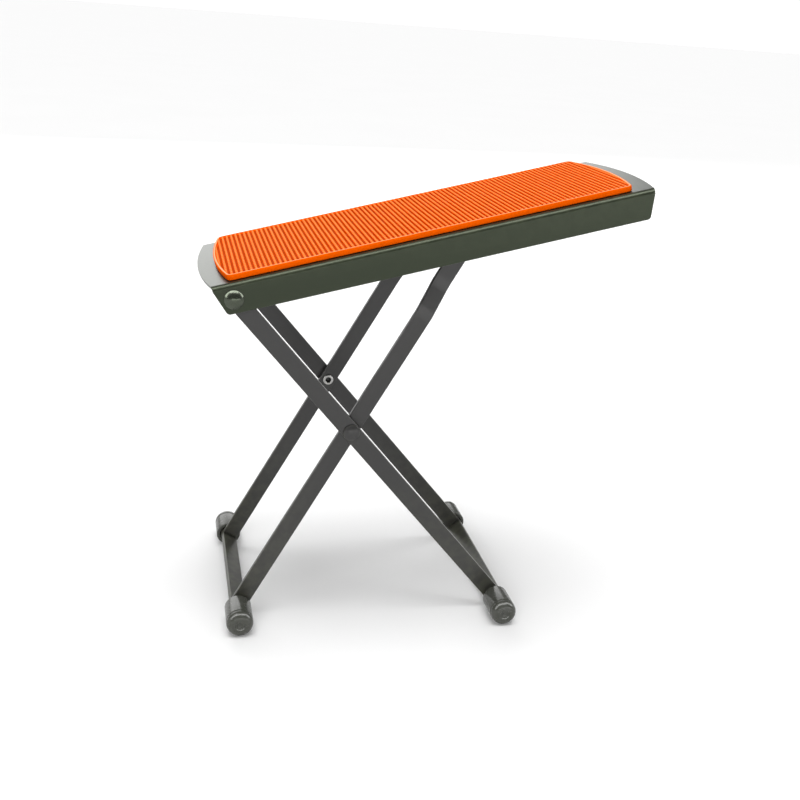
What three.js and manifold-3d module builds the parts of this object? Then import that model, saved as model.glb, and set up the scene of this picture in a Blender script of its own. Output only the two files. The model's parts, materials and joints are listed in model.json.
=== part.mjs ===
// A folding guitarist's footrest: a pressed steel platform with a ribbed rubber mat,
// carried by two flat-bar scissor frames that stand on round rubber caps.
// Millimetres and degrees. +X runs along the platform towards its raised end,
// +Y runs across to the rear, +Z is up. The origin is on the floor, under the middle of the whole.

import * as THREE from 'three';
import { mergeVertices } from 'three/addons/utils/BufferGeometryUtils.js';
import Module from 'manifold-3d';

const wasm = await Module();
wasm.setup();

// ---------------------------------------------------------------- driving dimensions

// Clearances between neighbours.
const seatGap = 0.3;            // between two faces that rest on each other
const runGap = 0.25;            // radial, between a shank and its hole
const rodGap = 0.6;             // between the locking rod and the tips of the rack's teeth
const capStandOff = 1.5;        // from a leg's outer face to the rim of its rubber cap

// Platform: one sheet bent down along both long sides, bowed outward at both ends.
const plateLength = 270;        // along the straight long edges
const plateWidth = 116;
const plateHeight = 18;
const sheet = 1.5;
const bendRadius = 2.5;         // outside of the bend
const endBow = 6.2;             // how far each end bows out beyond its corners
const slantLow = 4.6;           // how far the side's end leans in, at the pivot end
const slantHigh = 3.8;          // the same at the raised end
const sideCorner = 3;           // rounding of the side's lower corners

// Rubber mat: a raised rim around a field of cross ribs.
const matEndMargin = 10.2;      // from the plate's corner to the mat's, at the pivot end
const matFarMargin = 12.3;      // the same at the raised end
const matSideMargin = 4.6;
const matThickness = 3.4;
const matBow = 5.6;
const matRim = 1.8;
const ribPitch = 3;
const ribWidth = 1.7;
const ribHeight = 0.8;

// Scissor geometry, measured between pivot centres along the bars.
const pivotInset = 10.7;        // from the plate's corner to the platform pivot
const barUnderClear = 2.7;      // from a leg's round top end to the underside of the plate
const pivotToCross = 112.6;
const crossToOuterFoot = 161;
const crossToInnerFoot = 139.4;
const crossToRod = 137.5;
const opening = 69.9;           // angle between the two frames as it stands

// Flat bar of the legs and crossbars.
const barWidth = 11;
const barThick = 3;
const pivotSpacer = 2.7;        // washer between the plate's side and the outer leg
const crossSpacer = 1;          // washer between an outer and an inner leg
const joggleToRod = 30.5;       // from the rod back along the inner leg to its joggle
const joggleLength = 21;
const joggleShift = 5;          // how far the inner leg steps in towards its twin

// Rivets: a dome outside, a shank, and a tubular clinched tail inside.
const pivotShankRadius = 2.6;
const pivotHeadRadius = 5.7;
const pivotHeadHeight = 3;
const crossShankRadius = 2.3;
const crossHeadRadius = 5.2;
const crossHeadHeight = 2.1;
const tailRadius = 3.6;
const tailThickness = 1;
const tailBoreRadius = 1.9;
const tailBoreDepth = 3;
const spacerRadius = 5;

// Locking rod, its push-on washers and the notched racks that it engages.
const rodRadius = 3;
const rodOverhang = 1;
const clipRadius = 5.1;
const clipThickness = 1.2;
const rackLegGap = 3.6;         // from the inner leg to the rack's web
const rackWeb = 2;
const rackFoot = 8;             // width of the foot that is welded under the plate
const rackFootThick = 1.4;
const rackEndLength = 9;        // beyond the first and the last notch
const rackFarMargin = 35;       // at least this from the rack's end to the plate's corner
const notchPitch = 16;
const notchDepth = 2.6;
const notchClear = 0.4;         // notch radius beyond the rod's radius

// Rubber caps on the crossbars' ends.
const capRadius = 8.5;
const capLength = 23.5;
const capEndRound = 3;
const capRimRound = 0.6;
const capBottom = 4.5;
const capBoreClear = 0.3;       // from the flat bar's corners to the bore
const dimpleRadius = 2;
const dimpleDepth = 0.7;
const barEndGap = 1;            // from the crossbar's end to the bottom of its cap

// Steps of a full turn on round pieces, and of one arc on outlines.
const fine = 40;
const coarse = 24;
const cornerSteps = 6;
const endSteps = 10;
const matBowSteps = 16;
const plateBowSteps = 24;

// ---------------------------------------------------------------- worked-out positions

const radians = THREE.MathUtils.degToRad;

// Both feet stand on the floor, so the frames and the floor make one triangle.
const footSpan = Math.sqrt(crossToOuterFoot ** 2 + crossToInnerFoot ** 2
  - 2 * crossToOuterFoot * crossToInnerFoot * Math.cos(radians(opening)));
const outerAngle = Math.asin(crossToInnerFoot * Math.sin(radians(opening)) / footSpan);
const innerAngle = Math.PI - radians(opening) - outerAngle;
const crossHeight = capRadius + crossToOuterFoot * Math.sin(outerAngle);

// The platform runs from its pivot to the locking rod.
const pivotX = -pivotToCross * Math.cos(outerAngle);
const pivotZ = crossHeight + pivotToCross * Math.sin(outerAngle);
const rodX = crossToRod * Math.cos(innerAngle);
const rodZ = crossHeight + crossToRod * Math.sin(innerAngle);
const platformTilt = Math.atan2(rodZ - pivotZ, rodX - pivotX);
const rodReach = Math.hypot(rodX - pivotX, rodZ - pivotZ);

// Faces across the width, as distances from the middle plane.
const sideInner = plateWidth / 2 - sheet;
const outerLegOut = sideInner - pivotSpacer - 2 * seatGap;
const outerLegIn = outerLegOut - barThick;
const innerLegOut = outerLegIn - crossSpacer - 2 * seatGap;
const innerLegIn = innerLegOut - barThick;
const rodLegOut = innerLegOut - joggleShift;
const rodLegIn = rodLegOut - barThick;
const capBore = Math.hypot(barWidth, barThick) / 2 + capBoreClear;

// ---------------------------------------------------------------- materials

const coat = { color: 0x34372f, roughness: 0.42, metalness: 0.55 };
const zinc = { color: 0xa9a9a4, roughness: 0.35, metalness: 1 };
const blackRubber = { color: 0x3c3e38, roughness: 0.75, metalness: 0 };
const orangeRubber = { color: 0xff5a0a, roughness: 0.6, metalness: 0 };

// ---------------------------------------------------------------- helpers

// A closed geometry as a manifold solid, with shared vertices merged.
function solidOf(geometry) {
  const bare = geometry.clone();
  bare.deleteAttribute('normal');
  bare.deleteAttribute('uv');
  const merged = mergeVertices(bare, 1e-4);
  const index = merged.index.array;
  const kept = [];
  for (let i = 0; i < index.length; i += 3) {
    const [a, b, c] = [index[i], index[i + 1], index[i + 2]];
    if (a !== b && b !== c && c !== a) {
      kept.push(a, b, c);
    }
  }
  return new wasm.Manifold(new wasm.Mesh({
    numProp: 3,
    vertProperties: new Float32Array(merged.attributes.position.array),
    triVerts: new Uint32Array(kept),
  }));
}

// A manifold solid as a three.js geometry.
function geometryOf(solid) {
  const mesh = solid.getMesh();
  const geometry = new THREE.BufferGeometry();
  geometry.setAttribute('position', new THREE.BufferAttribute(mesh.vertProperties, 3));
  geometry.setIndex(new THREE.BufferAttribute(mesh.triVerts, 1));
  geometry.computeVertexNormals();
  return geometry;
}

// An outline pushed from one distance to another along X, Y or Z. The outline's two
// coordinates are (y, z), (x, z) and (x, y) in turn.
function prism(outline, axis, from, to, curveSegments = endSteps) {
  const geometry = new THREE.ExtrudeGeometry(outline, {
    depth: to - from,
    bevelEnabled: false,
    curveSegments,
  });
  const unit = {
    x: new THREE.Vector3(1, 0, 0),
    y: new THREE.Vector3(0, 1, 0),
    z: new THREE.Vector3(0, 0, 1),
  };
  const turn = new THREE.Matrix4();
  if (axis === 'x') {
    turn.makeBasis(unit.y, unit.z, unit.x);
    geometry.applyMatrix4(turn);
    geometry.translate(from, 0, 0);
  } else if (axis === 'y') {
    turn.makeBasis(unit.x, unit.z, unit.y.clone().negate());
    geometry.applyMatrix4(turn);
    geometry.translate(0, to, 0);
  } else {
    geometry.translate(0, 0, from);
  }
  return geometry;
}

// A round cutter along Y, through everything at (x, z).
function crossDrill(radius, x, z) {
  const drill = new THREE.CylinderGeometry(radius, radius, 2 * plateWidth, coarse);
  drill.translate(x, 0, z);
  return solidOf(drill);
}

// A plain outline from its corner points.
function polygon(points) {
  return new THREE.Shape(points.map(([x, y]) => new THREE.Vector2(x, y)));
}

// Straight long sides at +-halfWidth, with both ends bowed outward.
function bowedOutline(left, right, halfWidth, bow) {
  const radius = (halfWidth ** 2 + bow ** 2) / (2 * bow);
  const half = Math.asin(halfWidth / radius);
  const outline = new THREE.Shape();
  outline.moveTo(left, -halfWidth);
  outline.lineTo(right, -halfWidth);
  outline.absarc(right + bow - radius, 0, radius, -half, half, false);
  outline.lineTo(left, halfWidth);
  outline.absarc(left - bow + radius, 0, radius, Math.PI - half, Math.PI + half, false);
  return outline;
}

// A piece turned about its Y axis from a profile of (radius, y), lowest y first.
function turned(profile, segments) {
  const points = profile.map(([radius, y]) => new THREE.Vector2(radius, y));
  const geometry = new THREE.LatheGeometry(points, segments);
  geometry.deleteAttribute('normal');
  geometry.deleteAttribute('uv');
  const merged = mergeVertices(geometry, 1e-4);
  return geometryOf(solidOf(merged));
}

// Points on a quarter round about (radius, y), from one angle to another.
function round(centreRadius, centreY, size, fromDegrees, toDegrees, steps = 5) {
  const points = [];
  for (let i = 0; i <= steps; i += 1) {
    const angle = radians(fromDegrees + (toDegrees - fromDegrees) * i / steps);
    points.push([centreRadius + size * Math.cos(angle), centreY + size * Math.sin(angle)]);
  }
  return points;
}

// One named mesh, added to a group.
function place(group, name, geometry, look) {
  const mesh = new THREE.Mesh(geometry, new THREE.MeshStandardMaterial(look));
  mesh.name = name;
  group.add(mesh);
  return mesh;
}

// A turned piece is drawn for the rear side, and turned half over for the front.
const sides = [
  { name: 'front', sign: -1, flip: Math.PI },
  { name: 'rear', sign: 1, flip: 0 },
];

// ---------------------------------------------------------------- the three bodies

// Each body is drawn about its own pivot, with +X along it, and then leaned into place.
const footrest = new THREE.Group();

const platform = new THREE.Group();
platform.position.set(pivotX, 0, pivotZ);
platform.rotation.y = -platformTilt;

const outerFrame = new THREE.Group();
outerFrame.position.set(0, 0, crossHeight);
outerFrame.rotation.y = outerAngle;

const innerFrame = new THREE.Group();
innerFrame.position.set(0, 0, crossHeight);
innerFrame.rotation.y = -innerAngle;

footrest.add(platform, outerFrame, innerFrame);

// ---------------------------------------------------------------- platform: plate

const plateUnder = barWidth / 2 + barUnderClear;
const plateTop = plateUnder + sheet;
const plateFoot = plateTop - plateHeight;
const plateLeft = -pivotInset;
const plateRight = plateLeft + plateLength;

// The sheet's section across: an upside-down U with round bends.
function channelOutline(halfWidth, top, bottom, radius) {
  const outline = new THREE.Shape();
  outline.moveTo(-halfWidth, bottom);
  outline.lineTo(halfWidth, bottom);
  outline.lineTo(halfWidth, top - radius);
  outline.absarc(halfWidth - radius, top - radius, radius, 0, Math.PI / 2, false);
  outline.lineTo(-halfWidth + radius, top);
  outline.absarc(-halfWidth + radius, top - radius, radius, Math.PI / 2, Math.PI, false);
  return outline;
}

function makePlate() {
  const start = plateLeft - endBow - sheet;
  const end = plateRight + endBow + sheet;
  const outside = channelOutline(plateWidth / 2, plateTop, plateFoot, bendRadius);
  const inside = channelOutline(sideInner, plateUnder, plateFoot - sheet, bendRadius - sheet);
  const seenFromAbove = bowedOutline(plateLeft, plateRight, plateWidth / 2, endBow);

  // Seen from the side, the bent-down sides lean in at their ends and have round corners.
  const seenFromSide = new THREE.Shape();
  seenFromSide.moveTo(start, plateTop + sheet);
  seenFromSide.lineTo(start, plateUnder);
  seenFromSide.lineTo(plateLeft, plateUnder);
  seenFromSide.lineTo(plateLeft + slantLow, plateFoot + sideCorner);
  seenFromSide.quadraticCurveTo(
    plateLeft + slantLow, plateFoot,
    plateLeft + slantLow + sideCorner, plateFoot,
  );
  seenFromSide.lineTo(plateRight - slantHigh - sideCorner, plateFoot);
  seenFromSide.quadraticCurveTo(
    plateRight - slantHigh, plateFoot,
    plateRight - slantHigh, plateFoot + sideCorner,
  );
  seenFromSide.lineTo(plateRight, plateUnder);
  seenFromSide.lineTo(end, plateUnder);
  seenFromSide.lineTo(end, plateTop + sheet);

  const channel = solidOf(prism(outside, 'x', start, end, cornerSteps))
    .subtract(solidOf(prism(inside, 'x', start - sheet, end + sheet, cornerSteps)));
  const [below, above] = [plateFoot - sheet, plateTop + sheet];
  const fromAbove = solidOf(prism(seenFromAbove, 'z', below, above, plateBowSteps));
  const fromSide = solidOf(prism(seenFromSide, 'y', -plateWidth, plateWidth, cornerSteps));
  return channel
    .intersect(fromAbove)
    .intersect(fromSide)
    .subtract(crossDrill(pivotShankRadius + runGap, 0, 0));
}

place(platform, 'top_plate', geometryOf(makePlate()), coat);

// ---------------------------------------------------------------- platform: rubber mat

const matBase = plateTop + seatGap;
const matTop = matBase + matThickness;
const matLeft = plateLeft + matEndMargin;
const matRight = plateRight - matFarMargin;
const matHalf = plateWidth / 2 - matSideMargin;

function makeMat() {
  const outline = bowedOutline(matLeft, matRight, matHalf, matBow);
  const field = bowedOutline(matLeft + matRim, matRight - matRim, matHalf - matRim, matBow);
  const floor = matTop - ribHeight;
  const slab = solidOf(prism(outline, 'z', matBase, matTop, matBowSteps));
  const pocket = solidOf(prism(field, 'z', floor, matTop + ribHeight, matBowSteps));

  // Ribs run straight across, spaced evenly from the mat's middle.
  const middle = (matLeft + matRight) / 2;
  const reach = (matRight - matLeft) / 2 + matBow;
  const count = Math.floor(reach / ribPitch);
  let ribs = null;
  for (let i = -count; i <= count; i += 1) {
    const rib = new THREE.BoxGeometry(ribWidth, plateWidth, 2 * ribHeight);
    rib.translate(middle + i * ribPitch, 0, floor);
    const solid = solidOf(rib);
    ribs = ribs ? ribs.add(solid) : solid;
  }
  const inField = solidOf(prism(field, 'z', floor - ribHeight / 2, matTop, matBowSteps));
  return slab.subtract(pocket).add(ribs.intersect(inField));
}

place(platform, 'rubber_mat', geometryOf(makeMat()), orangeRubber);

// ---------------------------------------------------------------- platform: racks

const toothTip = rodRadius + rodGap;

// The first notch is over the rod, and the rest fill what the plate's length leaves.
const rackRoom = plateRight - rackFarMargin - rackEndLength - rodReach;
const notchCount = 1 + Math.floor(rackRoom / notchPitch);

function makeRack(sign) {
  const top = plateUnder - seatGap;
  const start = rodReach - rackEndLength;
  const end = rodReach + (notchCount - 1) * notchPitch + rackEndLength;
  const web = [rodLegIn - rackLegGap - rackWeb, rodLegIn - rackLegGap];
  const section = polygon([
    [sign * web[0], toothTip],
    [sign * web[1], toothTip],
    [sign * web[1], top],
    [sign * (web[1] - rackFoot), top],
    [sign * (web[1] - rackFoot), top - rackFootThick],
    [sign * web[0], top - rackFootThick],
  ]);
  let rack = solidOf(prism(section, 'x', start, end));
  const notchRadius = rodRadius + notchClear;
  const notchCentre = toothTip + notchDepth - notchRadius;
  for (let i = 0; i < notchCount; i += 1) {
    rack = rack.subtract(crossDrill(notchRadius, rodReach + i * notchPitch, notchCentre));
  }
  return rack;
}

for (const side of sides) {
  place(platform, `rack_${side.name}`, geometryOf(makeRack(side.sign)), coat);
}

// ---------------------------------------------------------------- rivets and washers

// A rivet along Y: tail face nearest the middle, dome furthest out.
function rivetProfile(tailOuter, headInner, shankRadius, headRadius, headHeight) {
  const tailInner = tailOuter - tailThickness;
  const domeRadius = (headRadius ** 2 + headHeight ** 2) / (2 * headHeight);
  const domeCentre = headInner + headHeight - domeRadius;
  const domeStart = THREE.MathUtils.radToDeg(Math.acos(headRadius / domeRadius));
  return [
    [0, tailInner + tailBoreDepth],
    [tailBoreRadius, tailInner + tailBoreDepth],
    [tailBoreRadius, tailInner],
    [tailRadius, tailInner],
    [tailRadius, tailOuter],
    [shankRadius, tailOuter],
    [shankRadius, headInner],
    ...round(0, domeCentre, domeRadius, domeStart, 90, 6).slice(0, -1),
    [0, headInner + headHeight],
  ];
}

function washerProfile(innerRadius, outerRadius, from, to) {
  return [
    [innerRadius, from],
    [outerRadius, from],
    [outerRadius, to],
    [innerRadius, to],
    [innerRadius, from],
  ];
}

const pivotRivet = turned(rivetProfile(
  outerLegIn - seatGap, plateWidth / 2 + seatGap,
  pivotShankRadius, pivotHeadRadius, pivotHeadHeight,
), coarse);
const pivotWasher = turned(washerProfile(
  pivotShankRadius + runGap, spacerRadius,
  outerLegOut + seatGap, sideInner - seatGap,
), coarse);
const crossRivet = turned(rivetProfile(
  innerLegIn - seatGap, outerLegOut + seatGap,
  crossShankRadius, crossHeadRadius, crossHeadHeight,
), coarse);
const crossWasher = turned(washerProfile(
  crossShankRadius + runGap, spacerRadius,
  innerLegOut + seatGap, outerLegIn - seatGap,
), coarse);

for (const side of sides) {
  place(platform, `pivot_rivet_${side.name}`, pivotRivet, coat).rotation.x = side.flip;
  place(platform, `pivot_washer_${side.name}`, pivotWasher, zinc).rotation.x = side.flip;
  place(outerFrame, `cross_rivet_${side.name}`, crossRivet, coat).rotation.x = side.flip;
  place(outerFrame, `cross_washer_${side.name}`, crossWasher, zinc).rotation.x = side.flip;
}

// ---------------------------------------------------------------- legs

// A bar along X that ends round at one end and square at the other.
function barOutline(squareEnd, roundEnd) {
  const half = barWidth / 2;
  const outline = new THREE.Shape();
  if (roundEnd > squareEnd) {
    outline.moveTo(squareEnd, half);
    outline.lineTo(squareEnd, -half);
    outline.lineTo(roundEnd, -half);
    outline.absarc(roundEnd, 0, half, -Math.PI / 2, Math.PI / 2, false);
  } else {
    outline.moveTo(squareEnd, -half);
    outline.lineTo(squareEnd, half);
    outline.lineTo(roundEnd, half);
    outline.absarc(roundEnd, 0, half, Math.PI / 2, 3 * Math.PI / 2, false);
  }
  return outline;
}

const footTrim = barThick / 2 + seatGap;

function makeOuterLeg(sign) {
  const [near, far] = sign < 0 ? [-outerLegOut, -outerLegIn] : [outerLegIn, outerLegOut];
  const outline = barOutline(crossToOuterFoot - footTrim, -pivotToCross);
  return solidOf(prism(outline, 'y', near, far))
    .subtract(crossDrill(pivotShankRadius + runGap, -pivotToCross, 0))
    .subtract(crossDrill(crossShankRadius + runGap, 0, 0));
}

// The inner leg steps inward at its joggle, as a strip seen from above.
function makeInnerLeg(sign) {
  const joggleEnd = crossToRod - joggleToRod;
  const joggleStart = joggleEnd - joggleLength;
  const foot = footTrim - crossToInnerFoot;
  const end = crossToRod + barWidth;
  const strip = polygon([
    [foot - barWidth, sign * innerLegIn],
    [foot - barWidth, sign * innerLegOut],
    [joggleStart, sign * innerLegOut],
    [joggleEnd, sign * rodLegOut],
    [end, sign * rodLegOut],
    [end, sign * rodLegIn],
    [joggleEnd, sign * rodLegIn],
    [joggleStart, sign * innerLegIn],
  ]);
  const outline = barOutline(foot, crossToRod);
  return solidOf(prism(strip, 'z', -barWidth, barWidth))
    .intersect(solidOf(prism(outline, 'y', -plateWidth, plateWidth)))
    .subtract(crossDrill(crossShankRadius + runGap, 0, 0))
    .subtract(crossDrill(rodRadius + runGap, crossToRod, 0));
}

for (const side of sides) {
  place(outerFrame, `outer_leg_${side.name}`, geometryOf(makeOuterLeg(side.sign)), coat);
  place(innerFrame, `inner_leg_${side.name}`, geometryOf(makeInnerLeg(side.sign)), coat);
}

// ---------------------------------------------------------------- crossbars and caps

// The cap is a round cup, drawn from the bottom of its bore round to the dimple in its end.
function capProfile() {
  const bore = capLength - capBottom;
  return [
    [0, bore],
    [capBore, bore],
    [capBore, capRimRound],
    ...round(capBore + capRimRound, capRimRound, capRimRound, 180, 270, 3).slice(1),
    ...round(capRadius - capRimRound, capRimRound, capRimRound, 270, 360, 3),
    ...round(capRadius - capEndRound, capLength - capEndRound, capEndRound, 0, 90, 6),
    [dimpleRadius, capLength],
    [dimpleRadius / 2, capLength - dimpleDepth],
    [0, capLength - dimpleDepth],
  ];
}

const cap = turned(capProfile(), fine);

function addFoot(group, title, reach, legOut) {
  const rim = legOut + capStandOff;
  const half = rim + capLength - capBottom - barEndGap;
  const bar = new THREE.BoxGeometry(barThick, 2 * half, barWidth);
  place(group, `${title}_crossbar`, bar, coat).position.x = reach;
  for (const side of sides) {
    const mesh = place(group, `${title}_cap_${side.name}`, cap, blackRubber);
    mesh.position.set(reach, side.sign * rim, 0);
    mesh.rotation.x = side.flip;
  }
}

addFoot(outerFrame, 'outer', crossToOuterFoot, outerLegOut);
addFoot(innerFrame, 'inner', -crossToInnerFoot, innerLegOut);

// ---------------------------------------------------------------- locking rod

const rodLength = 2 * (rodLegOut + seatGap + clipThickness + rodOverhang);
const rod = new THREE.CylinderGeometry(rodRadius, rodRadius, rodLength, coarse);
place(innerFrame, 'locking_rod', rod, zinc).position.x = crossToRod;

const clip = turned(washerProfile(
  rodRadius + runGap, clipRadius,
  rodLegOut + seatGap, rodLegOut + seatGap + clipThickness,
), coarse);
for (const side of sides) {
  const mesh = place(innerFrame, `rod_clip_${side.name}`, clip, zinc);
  mesh.position.x = crossToRod;
  mesh.rotation.x = side.flip;
}

// ---------------------------------------------------------------- origin

// The middle of the whole, seen from above, stands over the origin.
footrest.updateMatrixWorld(true);
const middle = new THREE.Box3().setFromObject(footrest, true).getCenter(new THREE.Vector3());
footrest.position.x = -middle.x;

export default footrest;
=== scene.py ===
# %% [markdown]
# # A folding footrest
#
# The real thing is a pressed steel tray with an orange rubber mat on it, carried by two
# pairs of crossed flat bars that stand on round rubber caps. A rod between one pair of
# bars hooks under the tray and holds it at its slope.
#
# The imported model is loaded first. It fixes every size and place, so each piece below is
# made where that model says, in metres, with +Z up.

# %% Load the frame
import json
from contextlib import contextmanager
from math import acos, cos, degrees, pi, radians, sin, sqrt

import bmesh
import bpy
from mathutils import Matrix, Vector


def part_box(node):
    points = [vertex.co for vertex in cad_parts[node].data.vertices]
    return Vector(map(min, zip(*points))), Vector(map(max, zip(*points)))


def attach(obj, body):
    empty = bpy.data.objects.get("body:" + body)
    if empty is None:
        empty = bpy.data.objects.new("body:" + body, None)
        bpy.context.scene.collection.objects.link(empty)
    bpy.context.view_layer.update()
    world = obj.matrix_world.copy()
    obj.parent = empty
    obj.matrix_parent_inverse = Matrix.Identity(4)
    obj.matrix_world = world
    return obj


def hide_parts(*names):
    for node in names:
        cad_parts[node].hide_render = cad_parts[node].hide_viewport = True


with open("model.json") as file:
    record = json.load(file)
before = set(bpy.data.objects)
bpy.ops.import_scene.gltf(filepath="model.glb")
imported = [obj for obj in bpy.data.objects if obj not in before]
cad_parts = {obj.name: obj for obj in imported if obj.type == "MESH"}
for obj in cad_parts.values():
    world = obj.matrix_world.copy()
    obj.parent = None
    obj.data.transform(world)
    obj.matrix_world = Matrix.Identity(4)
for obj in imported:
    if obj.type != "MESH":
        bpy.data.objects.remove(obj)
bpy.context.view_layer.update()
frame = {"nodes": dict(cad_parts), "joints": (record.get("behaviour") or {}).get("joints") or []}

MM = 0.001

# %% [markdown]
# ## The camera
#
# The footrest is seen from the front, a little from its low end and from above. The
# camera is placed by where it stands, and then turned in the order in which a hand would
# turn it: aside, down, and level or not.

# %% Camera
CAMERA_PLACE = Vector((-0.1575, -0.6341, 0.3713))
CAMERA_ASIDE = radians(-13.72)
CAMERA_DOWN = radians(20.17)
CAMERA_ROLL = radians(4.27)
CAMERA_LENS = 46.35

bpy.ops.object.camera_add()
camera = bpy.context.active_object
camera.name = "view_from_front"
camera.data.lens = CAMERA_LENS
camera.data.clip_start = 0.01
camera.matrix_world = (
    Matrix.Translation(CAMERA_PLACE)
    @ Matrix.Rotation(CAMERA_ASIDE, 4, "Z")
    @ Matrix.Rotation(pi / 2 - CAMERA_DOWN, 4, "X")
    @ Matrix.Rotation(CAMERA_ROLL, 4, "Z")
)
bpy.context.scene.camera = camera
print("camera:", CAMERA_LENS, "mm lens,", round(CAMERA_PLACE.length, 3), "m away")

# %% [markdown]
# ## Where each piece goes
#
# Each moving frame is easiest to draw as if it lay flat: X along the bar or the tray, Y
# across it, Z through its thickness. Three matrices lean those drawings into place. They
# come from the two joints and the locking rod: the outer bars run from the tray's pivot
# through the crossing, and the inner bars from the crossing up to the rod.

# %% Three drawing frames
joints = {joint["name"]: Vector(joint["pos_m"]) for joint in frame["joints"]}
pivot = joints["platform_pivot"]
crossing = joints["fold"]
rod_low, rod_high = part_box("locking_rod")
rod_centre = (rod_low + rod_high) / 2


def leaning(origin, towards):
    """A matrix whose X runs from origin towards a point, with Y across to the rear."""
    along = (towards - origin).normalized()
    across = Vector((0, 1, 0))
    upward = along.cross(across)
    turn = Matrix((along, across, upward)).transposed().to_4x4()
    return Matrix.Translation(origin) @ turn


tray = leaning(pivot, rod_centre)
outer = leaning(crossing, 2 * crossing - pivot)
inner = leaning(crossing, rod_centre)


def extent(node, drawing):
    """The lowest and highest corner of a node, measured in a drawing frame."""
    back = drawing.inverted()
    points = [back @ vertex.co for vertex in frame["nodes"][node].data.vertices]
    low = Vector(min(point[axis] for point in points) for axis in range(3))
    high = Vector(max(point[axis] for point in points) for axis in range(3))
    return low, high


for node, drawing in (("top_plate", tray), ("rubber_mat", tray), ("outer_leg_front", outer)):
    low, high = extent(node, drawing)
    print(node, "is", [round(side / MM, 2) for side in high - low], "mm")

# %% [markdown]
# ## Shader maths
#
# A finish is written below as plain arithmetic: `0.4 + 0.1 * grain`. One small class
# wraps a node's output so that such a line adds the Math nodes by itself, and one method
# adds any other node. A finish is then a material with a few short names for the nodes
# that the pieces below need: random patches, a blend of two colours, edges and dents.

# %% Values
class Value:
    """One output of a shader node, which can be added, multiplied and so on."""

    def __init__(self, tree, socket):
        self.tree = tree
        self.socket = socket

    def math(self, operation, first, second):
        node = self.tree.nodes.new("ShaderNodeMath")
        node.operation = operation
        plug(self.tree, node.inputs[0], first)
        plug(self.tree, node.inputs[1], second)
        return Value(self.tree, node.outputs[0])

    def __add__(self, other):
        return self.math("ADD", self, other)

    def __radd__(self, other):
        return self.math("ADD", other, self)

    def __mul__(self, other):
        return self.math("MULTIPLY", self, other)

    def __rmul__(self, other):
        return self.math("MULTIPLY", other, self)


def plug(tree, socket, value):
    """Links a Value to a socket, or sets the socket to a plain number or colour."""
    if isinstance(value, Value):
        tree.links.new(value.socket, socket)
    else:
        socket.default_value = value


# %% Recipes
class Recipe:
    """A node tree under construction, of a material or of the room."""

    def __init__(self, tree):
        self.tree = tree

    def add(self, kind, settings, sockets, output):
        """Adds a node, with its settings and its sockets, and gives one of its outputs."""
        node = self.tree.nodes.new(kind)
        for name, setting in settings.items():
            setattr(node, name, setting)
        for name, value in sockets.items():
            plug(self.tree, node.inputs[name], value)
        return Value(self.tree, node.outputs[output])

    def spread(self, value, start, end, low=0.0):
        """Stretches start..end to low..1, and stops there."""
        sockets = {"Value": value, "From Min": start, "From Max": end, "To Min": low}
        return self.add("ShaderNodeMapRange", {"clamp": True}, sockets, 0)


# %% Finishes
class Finish(Recipe):
    """A material under construction."""

    def __init__(self, name):
        self.material = bpy.data.materials.new(name)
        self.material.use_nodes = True
        super().__init__(self.material.node_tree)
        self.shader = self.tree.nodes["Principled BSDF"]
        self.place = self.add("ShaderNodeTexCoord", {}, {}, "Object")

    def noise(self, size, detail=2.0, rough=0.5, stretch=None):
        """Soft random patches about that many metres across, from 0 to 1."""
        place = self.place
        if stretch:
            place = self.add("ShaderNodeMapping", {}, {"Vector": place, "Scale": stretch}, 0)
        sockets = {"Vector": place, "Scale": 1 / size, "Detail": detail, "Roughness": rough}
        return self.add("ShaderNodeTexNoise", {}, sockets, "Fac")

    def painted(self, name):
        """A value that the piece itself carries, point by point."""
        return self.add("ShaderNodeAttribute", {"attribute_name": name}, {}, "Fac")

    def blend(self, share, first, second):
        """One colour where share is 0, the other where it is 1."""
        sockets = {0: share, 6: first, 7: second}
        return self.add("ShaderNodeMix", {"data_type": "RGBA"}, sockets, 2)

    def edges(self, start, end):
        """1 on outside edges, 0 on flat faces."""
        bend = self.add("ShaderNodeNewGeometry", {}, {}, "Pointiness")
        return self.spread(bend, start, end)

    def bump(self, height, depth):
        """Dents the surface by height, which runs from 0 to 1, times depth in metres."""
        sockets = {"Height": height, "Distance": depth, "Strength": 1.0}
        normal = self.add("ShaderNodeBump", {}, sockets, "Normal")
        self.set(Normal=normal)

    def set(self, **sockets):
        for name, value in sockets.items():
            plug(self.tree, self.shader.inputs[name.replace("_", " ")], value)


def grey(level, warm=0.0):
    """A linear grey, made a little warmer by warm."""
    return (level * (1 + warm), level, level * (1 - warm), 1)


print("shader helpers ready")

# %% [markdown]
# ## Powder coat
#
# The steel is powder coated in satin black, the tray in one with a hint of olive. Baked
# powder never lies quite flat: it has a fine orange-peel skin, slightly cloudy gloss, and
# it thins on sharp edges, where handling has rubbed it paler. That paler edge also stands
# in for the thin line of light that an eased edge catches, so it is partly a painted
# highlight. The colour is nearly black, because what one sees of it is mostly the bright
# cards mirrored in the satin skin.

# %% Powder coat
RUBBED_AND_HIGHLIT_COAT = (0.20, 0.21, 0.13, 1)
NO_TINT = (1, 1, 1, 1)
OLIVE_TINT = (0.88, 1.0, 0.76, 1)


def powder_coat(name, dark, light, index, tint):
    """A coat between two nearly equal colours. Its refractive index sets its shine."""
    finish = Finish(name)
    clouds = finish.noise(0.08, 2)
    peel = finish.noise(0.0012, 1)
    # Paler edges: partly coat rubbed thin, partly a painted highlight along the eased edges.
    rub_and_highlight = finish.edges(0.53, 0.6) * finish.spread(finish.noise(0.006, 4), 0.4, 0.6, 0.4)
    even = finish.blend(clouds, dark, light)
    worn = finish.blend(rub_and_highlight * 0.7, even, RUBBED_AND_HIGHLIT_COAT)
    finish.set(Base_Color=worn, Roughness=0.3 + 0.03 * clouds + 0.04 * peel)
    finish.set(IOR=index, Specular_Tint=tint)
    finish.bump(peel, 0.000005)
    return finish.material


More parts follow.
